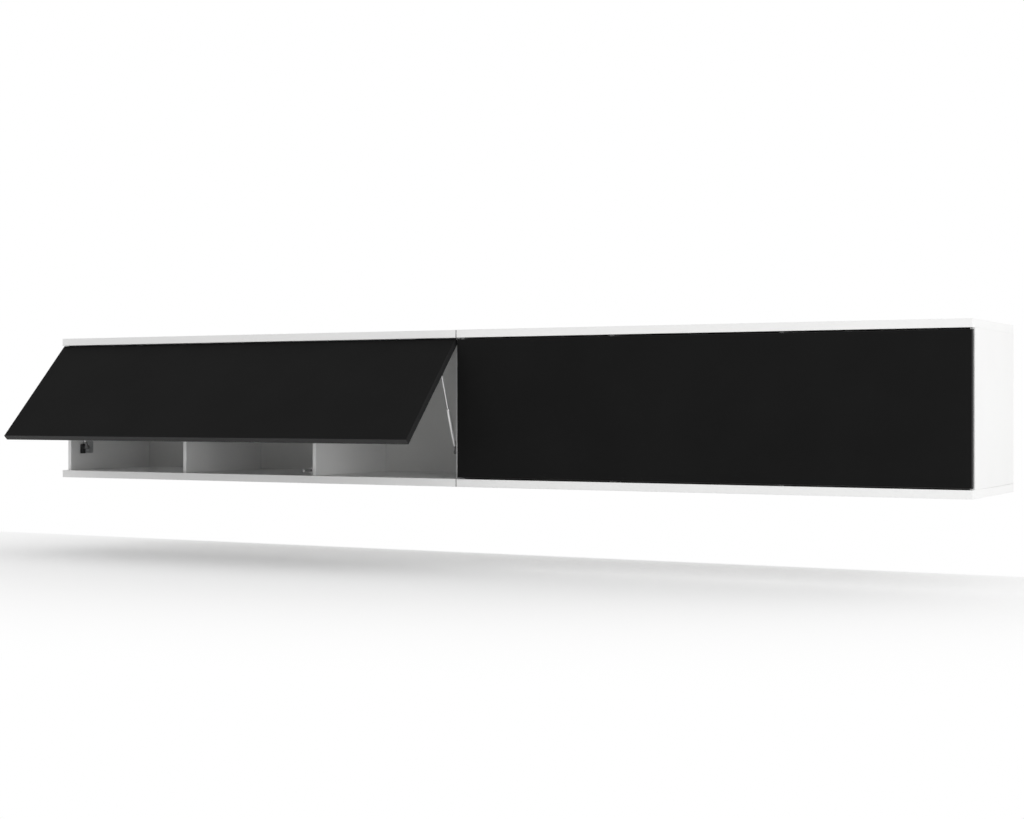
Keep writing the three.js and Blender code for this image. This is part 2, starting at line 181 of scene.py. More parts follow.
# Connector bolts
BOLT_RADIUS = 3 * MM
BOLT_HEAD_RADIUS = 7 * MM
BOLT_HEAD_THICKNESS = 2.5 * MM
BOLT_HEAD_CHAMFER = 0.8 * MM
BOLT_COLLAR_RADIUS = 6 * MM
BOLT_COLLAR_HALF = 0.5 * MM
BOLT_SOCKET_RADIUS = 2.9 * MM
BOLT_SOCKET_DEPTH = 1.8 * MM

# Textures: detail and roughness of a noise, size of its grain, strength and depth of its relief
NOISE_LOW = 0.3
NOISE_HIGH = 0.7
SOFT_NOISE = (2.0, 0.5)
FIBRE_NOISE = (6.0, 0.7)
STREAK_NOISE = (4.0, 0.6)
CLOUD_SIZE = 160 * MM
PEARL_DEPTH = 0.05 * MM
FLAKE_SIZE = 1.6 * MM
FLAKE_STRETCH = (0.45, 1, 1)
FLAKE_RELIEF = 0.5
FLAKE_DEPTH = 0.2 * MM
FIBRE_SIZE = 1.2 * MM
FIBRE_RELIEF = 0.4
FIBRE_DEPTH = 0.15 * MM
STREAK_DEPTH = 0.03 * MM
SPARK_SIZE = 0.5 * MM
SPARK_RELIEF = 0.25
SPARK_DEPTH = 0.04 * MM

# Tones that aren't plain greys, from the darker to the lighter one, and roughness of the raw boards
WHITE_TONES = ((0.885, 0.885, 0.88), (0.905, 0.905, 0.9))
COAT_TONES = ((0.78, 0.78, 0.77), (0.82, 0.82, 0.81))
CHIPBOARD_TONES = ((0.30, 0.19, 0.10), (0.58, 0.44, 0.28))
CHIPBOARD_ROUGHNESS = 0.85
HARDBOARD_TONES = ((0.20, 0.115, 0.06), (0.33, 0.21, 0.12))
HARDBOARD_ROUGHNESS = 0.8
ZINC_TONES = ((0.50, 0.51, 0.53), (0.62, 0.63, 0.64))

# Floor under the console: it fades to plain white far from it, and past the line of the wall
FLOOR_Z = -0.427
FLOOR_REACH = 40.0
FLOOR_COLOUR = 0.92
FLOOR_SEEN_COLOUR = 0.98
FLOOR_GLOW = 0.07
WALL_LINE_SOFTNESS = 0.012
FLOOR_FADE_MIDDLE = (0, -0.25, 0)
FLOOR_FADE_SCALE = (0.6, 1, 1)
FLOOR_FADE_START = 0.45
FLOOR_FADE_END = 1.5

# Light of the surroundings, and the lamp at the right of the camera
WORLD_LIGHT = 0.79
WHITE_LIGHT = 1
KEY_PLACE = (3.9, -2.6, 0.75)
KEY_TARGET = (0.1, -0.2, -0.1)
KEY_SIZE = 3.0
KEY_POWER = 58


# Shader nodes

def feed(tree, node, inputs):
    """Sets inputs of a node, each to a plain value or to the output of another node."""
    for name, value in inputs.items():
        if isinstance(value, bpy.types.NodeSocket):
            tree.links.new(value, node.inputs[name])
        else:
            node.inputs[name].default_value = value


def add_node(tree, kind, inputs=None):
    node = tree.nodes.new(kind)
    feed(tree, node, inputs or {})
    return node


def add_maths(tree, kind, operation, inputs):
    node = add_node(tree, kind)
    node.operation = operation
    feed(tree, node, inputs)
    return node


def empty_tree(owner):
    """Node tree of a material or a world, with nothing in it yet."""
    owner.use_nodes = True
    owner.node_tree.nodes.clear()
    return owner.node_tree


def new_material(name):
    """A material with its node tree and its shader."""
    material = bpy.data.materials.new(name)
    tree = empty_tree(material)
    shader = add_node(tree, "ShaderNodeBsdfPrincipled")
    add_node(tree, "ShaderNodeOutputMaterial", {"Surface": shader.outputs["BSDF"]})
    return material, tree, shader


def place_texture(tree, stretch=(1, 1, 1)):
    """Coordinates of the piece's own frame in metres, stretched along an axis."""
    place = add_node(tree, "ShaderNodeTexCoord").outputs["Object"]
    return add_node(tree, "ShaderNodeMapping", {"Scale": stretch, "Vector": place}).outputs["Vector"]


def noise(tree, place, size, character=SOFT_NOISE):
    """Noise whose blotches are about this size in metres. character is its detail and roughness."""
    detail, roughness = character
    inputs = {"Scale": 1 / size, "Detail": detail, "Roughness": roughness, "Vector": place}
    return add_node(tree, "ShaderNodeTexNoise", inputs).outputs["Fac"]


def spread(tree, value, low=0, high=1, from_low=NOISE_LOW, from_high=NOISE_HIGH, curve="LINEAR"):
    """A value mapped from one range to another. Most of a noise lies in the range taken by default."""
    node = add_node(tree, "ShaderNodeMapRange")
    node.interpolation_type = curve
    feed(tree, node, {
        "Value": value,
        "From Min": from_low,
        "From Max": from_high,
        "To Min": low,
        "To Max": high,
    })
    return node.outputs["Result"]


def mix_tones(tree, share, tones):
    low, high = tones
    node = add_node(tree, "ShaderNodeMix")
    node.data_type = "RGBA"
    feed(tree, node, {"A": (*low, 1), "B": (*high, 1), "Factor": share})
    return node.outputs["Result"]


def mix_shaders(tree, share, first, second):
    return add_node(tree, "ShaderNodeMixShader", {"Fac": share, 1: first, 2: second}).outputs["Shader"]


def bump(tree, shader, height, strength, depth):
    node = add_node(tree, "ShaderNodeBump", {"Strength": strength, "Distance": depth, "Height": height})
    feed(tree, shader, {"Normal": node.outputs["Normal"]})


# Materials

def laminate(name, tones, rough, specular, grain, relief):
    """Melamine-faced board: a faint cloudy tone and a fine pearl texture."""
    material, tree, shader = new_material(name)
    place = place_texture(tree)
    cloud = noise(tree, place, CLOUD_SIZE)
    pearl = noise(tree, place, grain)
    feed(tree, shader, {
        "Base Color": mix_tones(tree, spread(tree, cloud), tones),
        "Roughness": spread(tree, pearl, *rough),
        "Specular IOR Level": specular,
    })
    bump(tree, shader, pearl, relief, PEARL_DEPTH)
    return material


def chipboard():
    """Raw sawn edge of the core: pressed wood flakes."""
    material, tree, shader = new_material("raw_chipboard")
    place = place_texture(tree, FLAKE_STRETCH)
    flakes = add_node(tree, "ShaderNodeTexVoronoi", {"Scale": 1 / FLAKE_SIZE, "Vector": place})
    flake = add_node(tree, "ShaderNodeSeparateColor", {"Color": flakes.outputs["Color"]})
    tone = mix_tones(tree, flake.outputs["Red"], CHIPBOARD_TONES)
    feed(tree, shader, {"Base Color": tone, "Roughness": CHIPBOARD_ROUGHNESS})
    bump(tree, shader, flakes.outputs["Distance"], FLAKE_RELIEF, FLAKE_DEPTH)
    return material


def hardboard():
    """Raw back of the thin back panel: felted brown fibre."""
    material, tree, shader = new_material("raw_hardboard")
    fibre = noise(tree, place_texture(tree), FIBRE_SIZE, FIBRE_NOISE)
    tone = mix_tones(tree, spread(tree, fibre), HARDBOARD_TONES)
    feed(tree, shader, {"Base Color": tone, "Roughness": HARDBOARD_ROUGHNESS})
    bump(tree, shader, fibre, FIBRE_RELIEF, FIBRE_DEPTH)
    return material


def metal(name, tones, rough, grain, stretch, relief):
    """Steel with a plated or rolled surface: soft tone and gloss variation along the stretch."""
    material, tree, shader = new_material(name)
    streak = noise(tree, place_texture(tree, stretch), grain, STREAK_NOISE)
    feed(tree, shader, {
        "Base Color": mix_tones(tree, spread(tree, streak), tones),
        "Roughness": spread(tree, streak, *rough),
        "Metallic": 1.0,
    })
    bump(tree, shader, streak, relief, STREAK_DEPTH)
    return material


def moulded(name, tones, rough, specular):
    """Moulded plastic or powder coat with a fine spark texture."""
    material, tree, shader = new_material(name)
    spark = noise(tree, place_texture(tree), SPARK_SIZE)
    feed(tree, shader, {
        "Base Color": mix_tones(tree, spread(tree, spark), tones),
        "Roughness": spread(tree, spark, *rough),
        "Specular IOR Level": specular,
    })
    bump(tree, shader, spark, SPARK_RELIEF, SPARK_DEPTH)
    return material


def grey(value):
    return (value, value, value)


def greys(low, high):
    return grey(low), grey(high)


# Boards: tones, range of roughness, specular level, size of the grain, strength of the relief
WHITE = laminate("white_laminate", WHITE_TONES, (0.36, 0.46), 0.45, 0.9 * MM, 0.12)
WHITE_EDGE = laminate("white_edge_band", WHITE_TONES, (0.28, 0.36), 0.5, 1.4 * MM, 0.08)
WHITE_COAT = laminate("white_back_coat", COAT_TONES, (0.5, 0.62), 0.4, 0.8 * MM, 0.2)
BLACK = laminate("black_laminate", greys(0.0098, 0.0112), (0.48, 0.6), 0.02, 0.7 * MM, 0.22)
# Painted light: a lighter copy of the black band, for the lower edge of a flap.
BLACK_LIT_BAND = laminate("black_band_painted_light", greys(0.034, 0.038), (0.42, 0.52), 0.14, 1.1 * MM, 0.12)
# Painted shade: a darker copy of the same black band, for the ends and the top edge of a flap.
BLACK_SHADED_BAND = laminate("black_band_painted_shade", greys(0.024, 0.028), (0.45, 0.55), 0.04, 1.1 * MM, 0.12)
# Painted shade: dark grey for the board ends at the seam, where the narrow slit between the cabinets
# lies in shade.
SEAM_SHADE_BAND = laminate("seam_band_painted_shade", greys(0.02, 0.03), (0.6, 0.7), 0.1, 1.1 * MM, 0.2)
CHIPBOARD = chipboard()
HARDBOARD = hardboard()

# Bare metal: tones, range of roughness, size and stretch of the grain, strength of the relief
CHROME = metal("bright_steel", greys(0.78, 0.84), (0.26, 0.34), 4 * MM, (1, 1, 0.2), 0.05)
ZINC = metal("zinc_steel", ZINC_TONES, (0.3, 0.42), 6 * MM, (1, 1, 1), 0.15)

# Coated and moulded fittings: tones, range of roughness, specular level
DARK = moulded("dark_steel", greys(0.028, 0.04), (0.42, 0.52), 0.4)
SOCKET = moulded("black_socket", greys(0.012, 0.018), (0.4, 0.5), 0.4)
PLASTIC = moulded("grey_plastic", greys(0.38, 0.42), (0.4, 0.5), 0.4)
PALE_PLASTIC = moulded("pale_grey_plastic", greys(0.64, 0.68), (0.4, 0.5), 0.4)
DEEP_PLASTIC = moulded("deep_grey_plastic", greys(0.15, 0.18), (0.4, 0.5), 0.3)


# Solids of the frame and of their own

def mesh_of(solid, name):
    """Writes a solid to a new mesh and frees it."""
    mesh = bpy.data.meshes.new(name)
    solid.to_mesh(mesh)
    solid.free()
    return mesh


def copy_of(mesh, matrix):
    solid = bmesh.new()
    solid.from_mesh(mesh)
    bmesh.ops.transform(solid, matrix=matrix, verts=solid.verts)
    return solid


def solid_of(node, place=HERE):
    """The CAD solid of a node in a frame of its own, with merged points and flat faces joined up."""
    solid = copy_of(frame["nodes"][node].data, place.inverted())
    bmesh.ops.remove_doubles(solid, verts=solid.verts, dist=SAME_POINT)
    bmesh.ops.dissolve_limit(solid, angle_limit=FLAT_ANGLE, verts=solid.verts, edges=solid.edges)
    bmesh.ops.recalc_face_normals(solid, faces=solid.faces)
    for face in solid.faces:
        face.material_index = 0
    return solid


def limits(solid):
    """Lowest and highest corner of a solid."""
    axes = list(zip(*(v.co for v in solid.verts)))
    return [Vector([pick(places) for places in axes]) for pick in (min, max)]


def box_of(node, place=HERE):
    """Lowest and highest corner of a node in a frame of its own."""
    solid = solid_of(node, place)
    corners = limits(solid)
    solid.free()
    return corners


def box_solid(corner, opposite):
    solid = bmesh.new()
    bmesh.ops.create_cube(solid, size=1)
    size = [abs(b - a) for a, b in zip(corner, opposite)]
    middle = (Vector(corner) + Vector(opposite)) / 2
    matrix = Matrix.Translation(middle) @ Matrix.Diagonal((*size, 1))
    bmesh.ops.transform(solid, matrix=matrix, verts=solid.verts)
    return solid


def turned_solid(profile, axis="Z", sides=ROUND_SIDES):
    """Closed solid of revolution. The profile is a list of radius and place along the axis."""
    solid = bmesh.new()
    rings = []
    for radius, height in profile:
        turns = [math.tau * i / sides for i in range(sides if radius else 1)]
        points = [(radius * math.cos(turn), radius * math.sin(turn), height) for turn in turns]
        rings.append([solid.verts.new(point) for point in points])
    for lower, upper in zip(rings, rings[1:]):
        for i in range(sides):
            corners = [lower[i % len(lower)], lower[(i + 1) % len(lower)]]
            corners += [upper[(i + 1) % len(upper)], upper[i % len(upper)]]
            face = list(dict.fromkeys(corners))
            if len(face) > 2:
                solid.faces.new(face)
    if axis != "Z":
        bmesh.ops.transform(solid, matrix=TURNS[axis], verts=solid.verts)
    return solid


def rod_profile(radius, start, end, start_chamfer=0, end_chamfer=0):
    """Profile of a round rod from start to end, with a chamfer where one is given."""
    profile = [(0, start)]
    if start_chamfer:
        profile.append((radius - start_chamfer, start))
    profile += [(radius, start + start_chamfer), (radius, end - end_chamfer)]
    if end_chamfer:
        profile.append((radius - end_chamfer, end))
    return profile + [(0, end)]


def moved(solid, *place):
    bmesh.ops.translate(solid, vec=Vector(place), verts=solid.verts)
    return solid


def combine(base, tool, operation):
    """Joins two solids or cuts one by the other, and gives the result as a new solid."""
    holders = []
    for solid in (base, tool):
        bmesh.ops.recalc_face_normals(solid, faces=solid.faces)
        holders.append(bpy.data.objects.new("boolean", mesh_of(solid, "boolean")))
        bpy.context.scene.collection.objects.link(holders[-1])
    modifier = holders[0].modifiers.new("boolean", "BOOLEAN")
    modifier.operation = operation
    modifier.solver = "EXACT"
    modifier.object = holders[1]
    bpy.context.view_layer.update()
    shown = holders[0].evaluated_get(bpy.context.evaluated_depsgraph_get())
    result = bmesh.new()
    result.from_mesh(shown.to_mesh())
    for holder in holders:
        mesh = holder.data
        bpy.data.objects.remove(holder)
        bpy.data.meshes.remove(mesh)
    return result


def keep_behind(solid, spot, normal):
    """Cuts a solid at a plane, drops what lies in front of it, and closes the cut with a raw face."""
    whole = solid.verts[:] + solid.edges[:] + solid.faces[:]
    cut = bmesh.ops.bisect_plane(solid, geom=whole, plane_co=spot, plane_no=normal, clear_outer=True)
    rim = [part for part in cut["geom_cut"] if isinstance(part, bmesh.types.BMEdge)]
    for face in bmesh.ops.holes_fill(solid, edges=rim, sides=0)["faces"]:
        face.material_index = 1


def slice_off(solid, axis, sign, depth):
    """Cuts a slab off one side of a solid, and gives it back as a solid with its outer rim marked."""
    low, high = limits(solid)
    outer = high[axis] if sign > 0 else low[axis]
    spot = Vector((0, 0, 0))
    spot[axis] = outer - sign * depth
    normal = Vector((0, 0, 0))
    normal[axis] = sign
    slab = solid.copy()
    keep_behind(solid, spot, normal)
    keep_behind(slab, spot, -normal)
    weight = slab.edges.layers.float.new("bevel_weight_edge")
    for edge in slab.edges:
        on_rim = all(abs(v.co[axis] - outer) < TINY for v in edge.verts)
        edge[weight] = 1 if on_rim and edge.calc_face_angle(0) > SMOOTH_ANGLE else 0
    for face in slab.faces:
        face.material_index = 0
    return slab


def round_corners(solid, axis, radius):
    """Rounds the edges of a plate that run along an axis at the corners of its box."""
    low, high = limits(solid)
    across = [i for i in range(3) if i != axis]
    corners = [
        edge for edge in solid.edges
        if all(min(v.co[i] - low[i], high[i] - v.co[i]) < TINY for i in across for v in edge.verts)
        and abs((edge.verts[0].co - edge.verts[1].co).normalized()[axis]) > STRAIGHT
    ]
    bmesh.ops.bevel(
        solid,
        geom=corners,
        offset=radius,
        segments=CORNER_SEGMENTS,
        profile=ROUND_PROFILE,
        affect="EDGES",
    )


# Pieces

def add_piece(name, solid, body, materials, place=HERE, stands_for=()):
    """A solid as a piece that rides on a body and stands for CAD nodes."""
    bmesh.ops.recalc_face_normals(solid, faces=solid.faces)
    mesh = mesh_of(solid, name)
    for material in materials:
        mesh.materials.append(material)
    mesh.polygons.foreach_set("use_smooth", [True] * len(mesh.polygons))
    mesh.set_sharp_from_angle(angle=SMOOTH_ANGLE)
    piece = bpy.data.objects.new(name, mesh)
    bpy.context.scene.collection.objects.link(piece)
    piece.matrix_world = place
    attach(piece, body)
    if stands_for:
        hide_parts(*stands_for)
    return piece


def round_edges(piece, width, segments=EDGE_SEGMENTS, method="ANGLE"):
    """Rounds the sharp or the marked edges of a piece for good."""
    bevel = piece.modifiers.new("round", "BEVEL")
    bevel.width = width
    bevel.segments = segments
    bevel.limit_method = method
    bevel.angle_limit = SMOOTH_ANGLE
    bevel.harden_normals = True
    bevel.use_clamp_overlap = True
    bevel.material = 0
    bpy.context.view_layer.update()
    graph = bpy.context.evaluated_depsgraph_get()
    mesh = bpy.data.meshes.new_from_object(piece.evaluated_get(graph))
    piece.modifiers.clear()
    piece.data = mesh


def screw_mesh():
    """Round-head screw with a cross recess. Its head has radius 1 and stands on z = 0."""
    head = turned_solid(SCREW_PROFILE_SHARES, sides=SCREW_SIDES)
    arm = (RECESS_REACH_SHARE, RECESS_WIDTH_SHARE)
    for reach, width in (arm, arm[::-1]):
        recess = box_solid((-reach, -width, RECESS_FLOOR_SHARE), (reach, width, RECESS_TOP_SHARE))
        head = combine(head, recess, "DIFFERENCE")
    return mesh_of(head, "screw")


SCREW = screw_mesh()


def add_screws(name, body, radius, outward, spots, place=HERE):
    """The screws of one fitting as one piece, each with its recess turned another way."""
    screws = bmesh.new()
    turn = Vector(outward).to_track_quat("Z", "Y").to_matrix().to_4x4()
    for number, spot in enumerate(spots, 1):
        made = len(screws.verts)
        screws.from_mesh(SCREW)
        screws.verts.ensure_lookup_table()
        twist = Matrix.Rotation(SCREW_TWIST * number, 4, "Z")
        matrix = Matrix.Translation(spot) @ turn @ twist @ Matrix.Scale(radius, 4)
        bmesh.ops.transform(screws, matrix=matrix, verts=screws.verts[made:])
    add_piece(name, screws, body, [ZINC], place)


# Frames of the moving parts

def joint(name):
    return next(found for found in frame["joints"] if found["name"] == name)


def flap_frame(side):
    """Frame of a flap, with its origin in the middle of the hinge axis and the flap along -z."""
    hinge = joint(f"{side}_flap_hinge")
    opening = Matrix.Rotation(math.radians(hinge["range_deg"][0]), 4, "X")
    return Matrix.Translation(hinge["pos_m"]) @ opening


def strut_frame(side, number):
    """Frame of a strut, with its origin on the pivot at the flap and the strut along -z."""
    pivot = joint(f"{side}_rod_{number}_pivot")["pos_m"]
    along = Vector(joint(f"{side}_cylinder_{number}_slide")["axis"])
    lean = Matrix.Rotation(math.atan2(along.y, -along.z), 4, "X")
    return Matrix.Translation(pivot) @ lean


# Boards

def dress_board(node, body, banded, finishes, edge_round, place=HERE):
    """A board as a core with a strip of edge band along each side that has one.

    banded lists the axis and the sign of those sides, the one whose strip runs full length first.
    A side with a finish of its own has that as third.
    """
    core_finish, band_finish = finishes
    core = solid_of(node, place)
    low, high = limits(core)
    thin = min(range(3), key=lambda axis: high[axis] - low[axis])
    for face in core.faces:
        middle = face.calc_center_median()[thin]
        faced = abs(face.normal[thin]) > FACING and min(middle - low[thin], high[thin] - middle) < TINY
        face.material_index = 0 if faced else 1
    for number, (axis, sign, *own_finish) in enumerate(banded, 1):
        strip = slice_off(core, axis, sign, BAND)
        finish = own_finish or [band_finish]
        piece = add_piece(f"{node}_band_{number}", strip, body, finish, place)
        round_edges(piece, edge_round, BAND_SEGMENTS, "WEIGHT")
    piece = add_piece(f"{node}_core", core, body, [core_finish, CHIPBOARD], place, [node])
    round_edges(piece, CORE_ROUND, CORE_SEGMENTS)


def dress_boards(side):
    """Boards of a cabinet. The end at the seam gets a dark grey band, painted shade for the narrow slit
    between the cabinets; the free end has a white band.
    """
    white = (WHITE, WHITE_EDGE)
    outward = -1 if side == "left" else 1
    for level in ("top", "bottom"):
        # The band at the seam end is dark grey painted shade.
        banded = [(1, -1), (0, outward), (0, -outward, SEAM_SHADE_BAND)]
        dress_board(f"{side}_{level}_board", "carcass", banded, white, BAND_ROUND)
    for name in ("left_end_panel", "right_end_panel", "divider_1", "divider_2"):
        dress_board(f"{side}_{name}", "carcass", [(1, -1)], white, PANEL_ROUND)
    name = f"{side}_back_panel"
    back = solid_of(name)
    for face in back.faces:
        face.material_index = 1 if face.normal.y > FACING else 0
    finishes = [WHITE_COAT, HARDBOARD]
    add_piece(f"{name}_board", back, "carcass", finishes, stands_for=[name])


def dress_flap(side):
    """Flap of a cabinet. Its ends and its top edge have a darker copy of its black band, painted shade,
    and its lower edge a lighter copy, painted light.
    """
    # The lower edge takes the band with painted light; the top edge and the ends take the band with
    # painted shade.
    banded = [(2, -1), (2, 1, BLACK_SHADED_BAND), (0, -1, BLACK_SHADED_BAND), (0, 1, BLACK_SHADED_BAND)]
    black = (BLACK, BLACK_LIT_BAND)
    place = flap_frame(side)
    dress_board(f"{side}_flap", f"{side}_door", banded, black, BAND_ROUND, place)


# Fittings

def add_pressed(node, body, material, edge_round=STEEL_ROUND, place=HERE, corner=None):
    """A pressed or cast fitting: the CAD solid with rounded edges.

    corner gives the axis and the radius of its round plate corners, if it has them.
    """
    solid = solid_of(node, place)
    if corner:
        round_corners(solid, *corner)
    piece = add_piece(f"{node}_steel", solid, body, [material], place, [node])
    round_edges(piece, edge_round)


def dress_hinge(side, number):
    """Leaf and screws of a hinge on the flap, and then on the top board."""
    name = f"{side}_hinge_{number}"
    place = flap_frame(side)
    door = f"{side}_door"
    reach = (-LEAF_SCREW_REACH, 0, LEAF_SCREW_REACH)
    add_pressed(f"{name}_flap_leaf", door, DARK, place=place)
    low, high = box_of(f"{name}_flap_leaf", place)
    middle = (low.x + high.x) / 2
    spots = [(middle + x, high.y, low.z + LEAF_SCREW_EDGE) for x in reach]
    add_screws(f"{name}_flap_screws", door, SCREW_RADIUS, (0, 1, 0), spots, place)

    add_pressed(f"{name}_board_leaf", "carcass", DARK)
    low, high = box_of(f"{name}_board_leaf")
    middle = (low.x + high.x) / 2
    under = high.z - LEAF_THICKNESS
    spots = [(middle + x, high.y - LEAF_SCREW_EDGE, under) for x in reach]
    add_screws(f"{name}_board_screws", "carcass", SCREW_RADIUS, (0, 0, -1), spots)


def end_fitting(neck, hollow):
    """Moulded end of a strut: an eye across x, a neck along z, and if hollow a stud socket at +x."""
    high = box_of("left_strut_1_rod", strut_frame("left", 1))[1]
    radius, half = high.z, high.x
    eye = turned_solid(rod_profile(radius, -half, half, EYE_CHAMFER, EYE_CHAMFER), "X")
    stem = turned_solid([
        (0, 0),
        (NECK_FLARE, 0),
        (NECK_FLARE, radius + EYE_CHAMFER),
        (NECK_RADIUS, radius + NECK_FLARE_RISE),
        (NECK_RADIUS, neck - EYE_CHAMFER),
        (NECK_RADIUS - EYE_CHAMFER, neck),
        (0, neck),
    ])
    fitting = combine(eye, stem, "UNION")
    if hollow:
        hole = turned_solid(rod_profile(STUD_HOLE_RADIUS, 0, DRILL_LENGTH), "X")
        fitting = combine(fitting, moved(hole, half - STUD_HOLE_DEPTH, 0, 0), "DIFFERENCE")
    return mesh_of(fitting, "end_fitting")


ROD_END = end_fitting(ROD_NECK, True)
TUBE_END = end_fitting(FOOT_NECK, False)


def tube_profile(foot, top):
    """Pressure tube of a strut: round shoulders, two rolled grooves, and the bore for the rod."""
    half = GROOVE_WIDTH / 2
    grooves = []
    for drop in GROOVE_DROPS:
        centre = top - drop
        grooves += [
            (TUBE_RADIUS, centre - half),
            (TUBE_RADIUS - GROOVE_DEPTH, centre - half + GROOVE_DEPTH),
            (TUBE_RADIUS - GROOVE_DEPTH, centre + half - GROOVE_DEPTH),
            (TUBE_RADIUS, centre + half),
        ]
    inner = TUBE_RADIUS - TUBE_SHOULDER
    bend = TUBE_SHOULDER * math.sin(math.pi / 4)
    shoulder = TUBE_SHOULDER - bend
    return [
        (0, foot),
        (inner, foot),
        (inner + bend, foot + shoulder),
        (TUBE_RADIUS, foot + TUBE_SHOULDER),
        *grooves,
        (TUBE_RADIUS, top - TUBE_SHOULDER),
        (inner + bend, top - shoulder),
        (inner, top),
        (ROD_RADIUS + TUBE_GAP, top),
        (ROD_RADIUS + TUBE_GAP, top - BORE_DEPTH),
        (0, top - BORE_DEPTH),
    ]


def dress_strut(side, number):
    """Rod, tube and brackets of a strut. The rod end's socket opens to the end panel beside it."""
    name = f"{side}_strut_{number}"
    door, rod_body, tube_body = f"{side}_door", f"{side}_rod_{number}", f"{side}_cylinder_{number}"
    outward = -1 if number == 1 else 1
    place = strut_frame(side, number)
    turn = HERE if outward > 0 else Matrix.Rotation(math.pi, 4, "Z")

    tip = box_of(f"{name}_rod", place)[0].z
    shaft = turned_solid(rod_profile(ROD_RADIUS, tip, -ROD_NECK, ROD_CHAMFER))
    add_piece(f"{name}_rod_shaft", shaft, rod_body, [CHROME], place, [f"{name}_rod"])
    end = copy_of(ROD_END, turn @ Matrix.Rotation(math.pi, 4, "X"))
    add_piece(f"{name}_rod_end", end, rod_body, [SOCKET], place)

    low, high = box_of(f"{name}_cylinder", place)
    foot = low.z + high.y
    tube = turned_solid(tube_profile(foot + FOOT_NECK, high.z))
    add_piece(f"{name}_tube", tube, tube_body, [CHROME], place, [f"{name}_cylinder"])
    end = moved(copy_of(TUBE_END, turn), 0, 0, foot)
    add_piece(f"{name}_tube_end", end, tube_body, [DEEP_PLASTIC], place)

    flap_place = flap_frame(side)
    node = f"{name}_flap_bracket"
    add_pressed(node, door, ZINC, place=flap_place)
    low, high = box_of(node, flap_place)
    middle = (low + high) / 2
    base = low.y + BRACKET_THICKNESS
    beside = middle.x - outward * BRACKET_THICKNESS
    spots = [(beside, base, middle.z + z) for z in (-BRACKET_SCREW_REACH, BRACKET_SCREW_REACH)]
    add_screws(f"{node}_screws", door, SCREW_RADIUS, (0, 1, 0), spots, flap_place)

    dress_side_bracket(f"{name}_side_bracket", outward)


def dress_side_bracket(node, outward):
    """Bracket on the end panel: a plate, a moulded housing in front of it, and the stud."""
    low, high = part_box(node)
    panel, tip = (high.x, low.x) if outward > 0 else (low.x, high.x)
    face = panel - outward * BRACKET_THICKNESS
    outer = face - outward * HOUSING_DEPTH
    plate = box_solid((panel, low.y + HOUSING_BACK, low.z), (face, high.y, high.z))
    round_corners(plate, 0, BRACKET_CORNER)
    plate = add_piece(f"{node}_plate", plate, "carcass", [ZINC], stands_for=[node])
    round_edges(plate, STEEL_ROUND)

    housing_low = (panel, low.y + HOUSING_FRONT, low.z)
    housing = box_solid(housing_low, (outer, low.y + HOUSING_BACK, low.z + HOUSING_HEIGHT))
    housing = add_piece(f"{node}_housing", housing, "carcass", [SOCKET])
    round_edges(housing, HOUSING_ROUND, MOULDED_SEGMENTS)

    start, end = sorted((outer, tip))
    stud = turned_solid(rod_profile(STUD_RADIUS, start, end, STUD_CHAMFER, STUD_CHAMFER), "X")
    stud = moved(stud, 0, low.y + STUD_SETBACK, low.z + STUD_RISE)
    add_piece(f"{node}_stud", stud, "carcass", [SOCKET])

    middle = (low + high) / 2
    levels = (low.z + BRACKET_SCREW_EDGE, high.z - BRACKET_SCREW_EDGE)
    spots = [(face, middle.y + BRACKET_SCREW_EDGE, z) for z in levels]
    spots.append((face, high.y - BRACKET_SCREW_EDGE, middle.z))
    add_screws(f"{node}_screws", "carcass", SCREW_RADIUS, (-outward, 0, 0), spots)


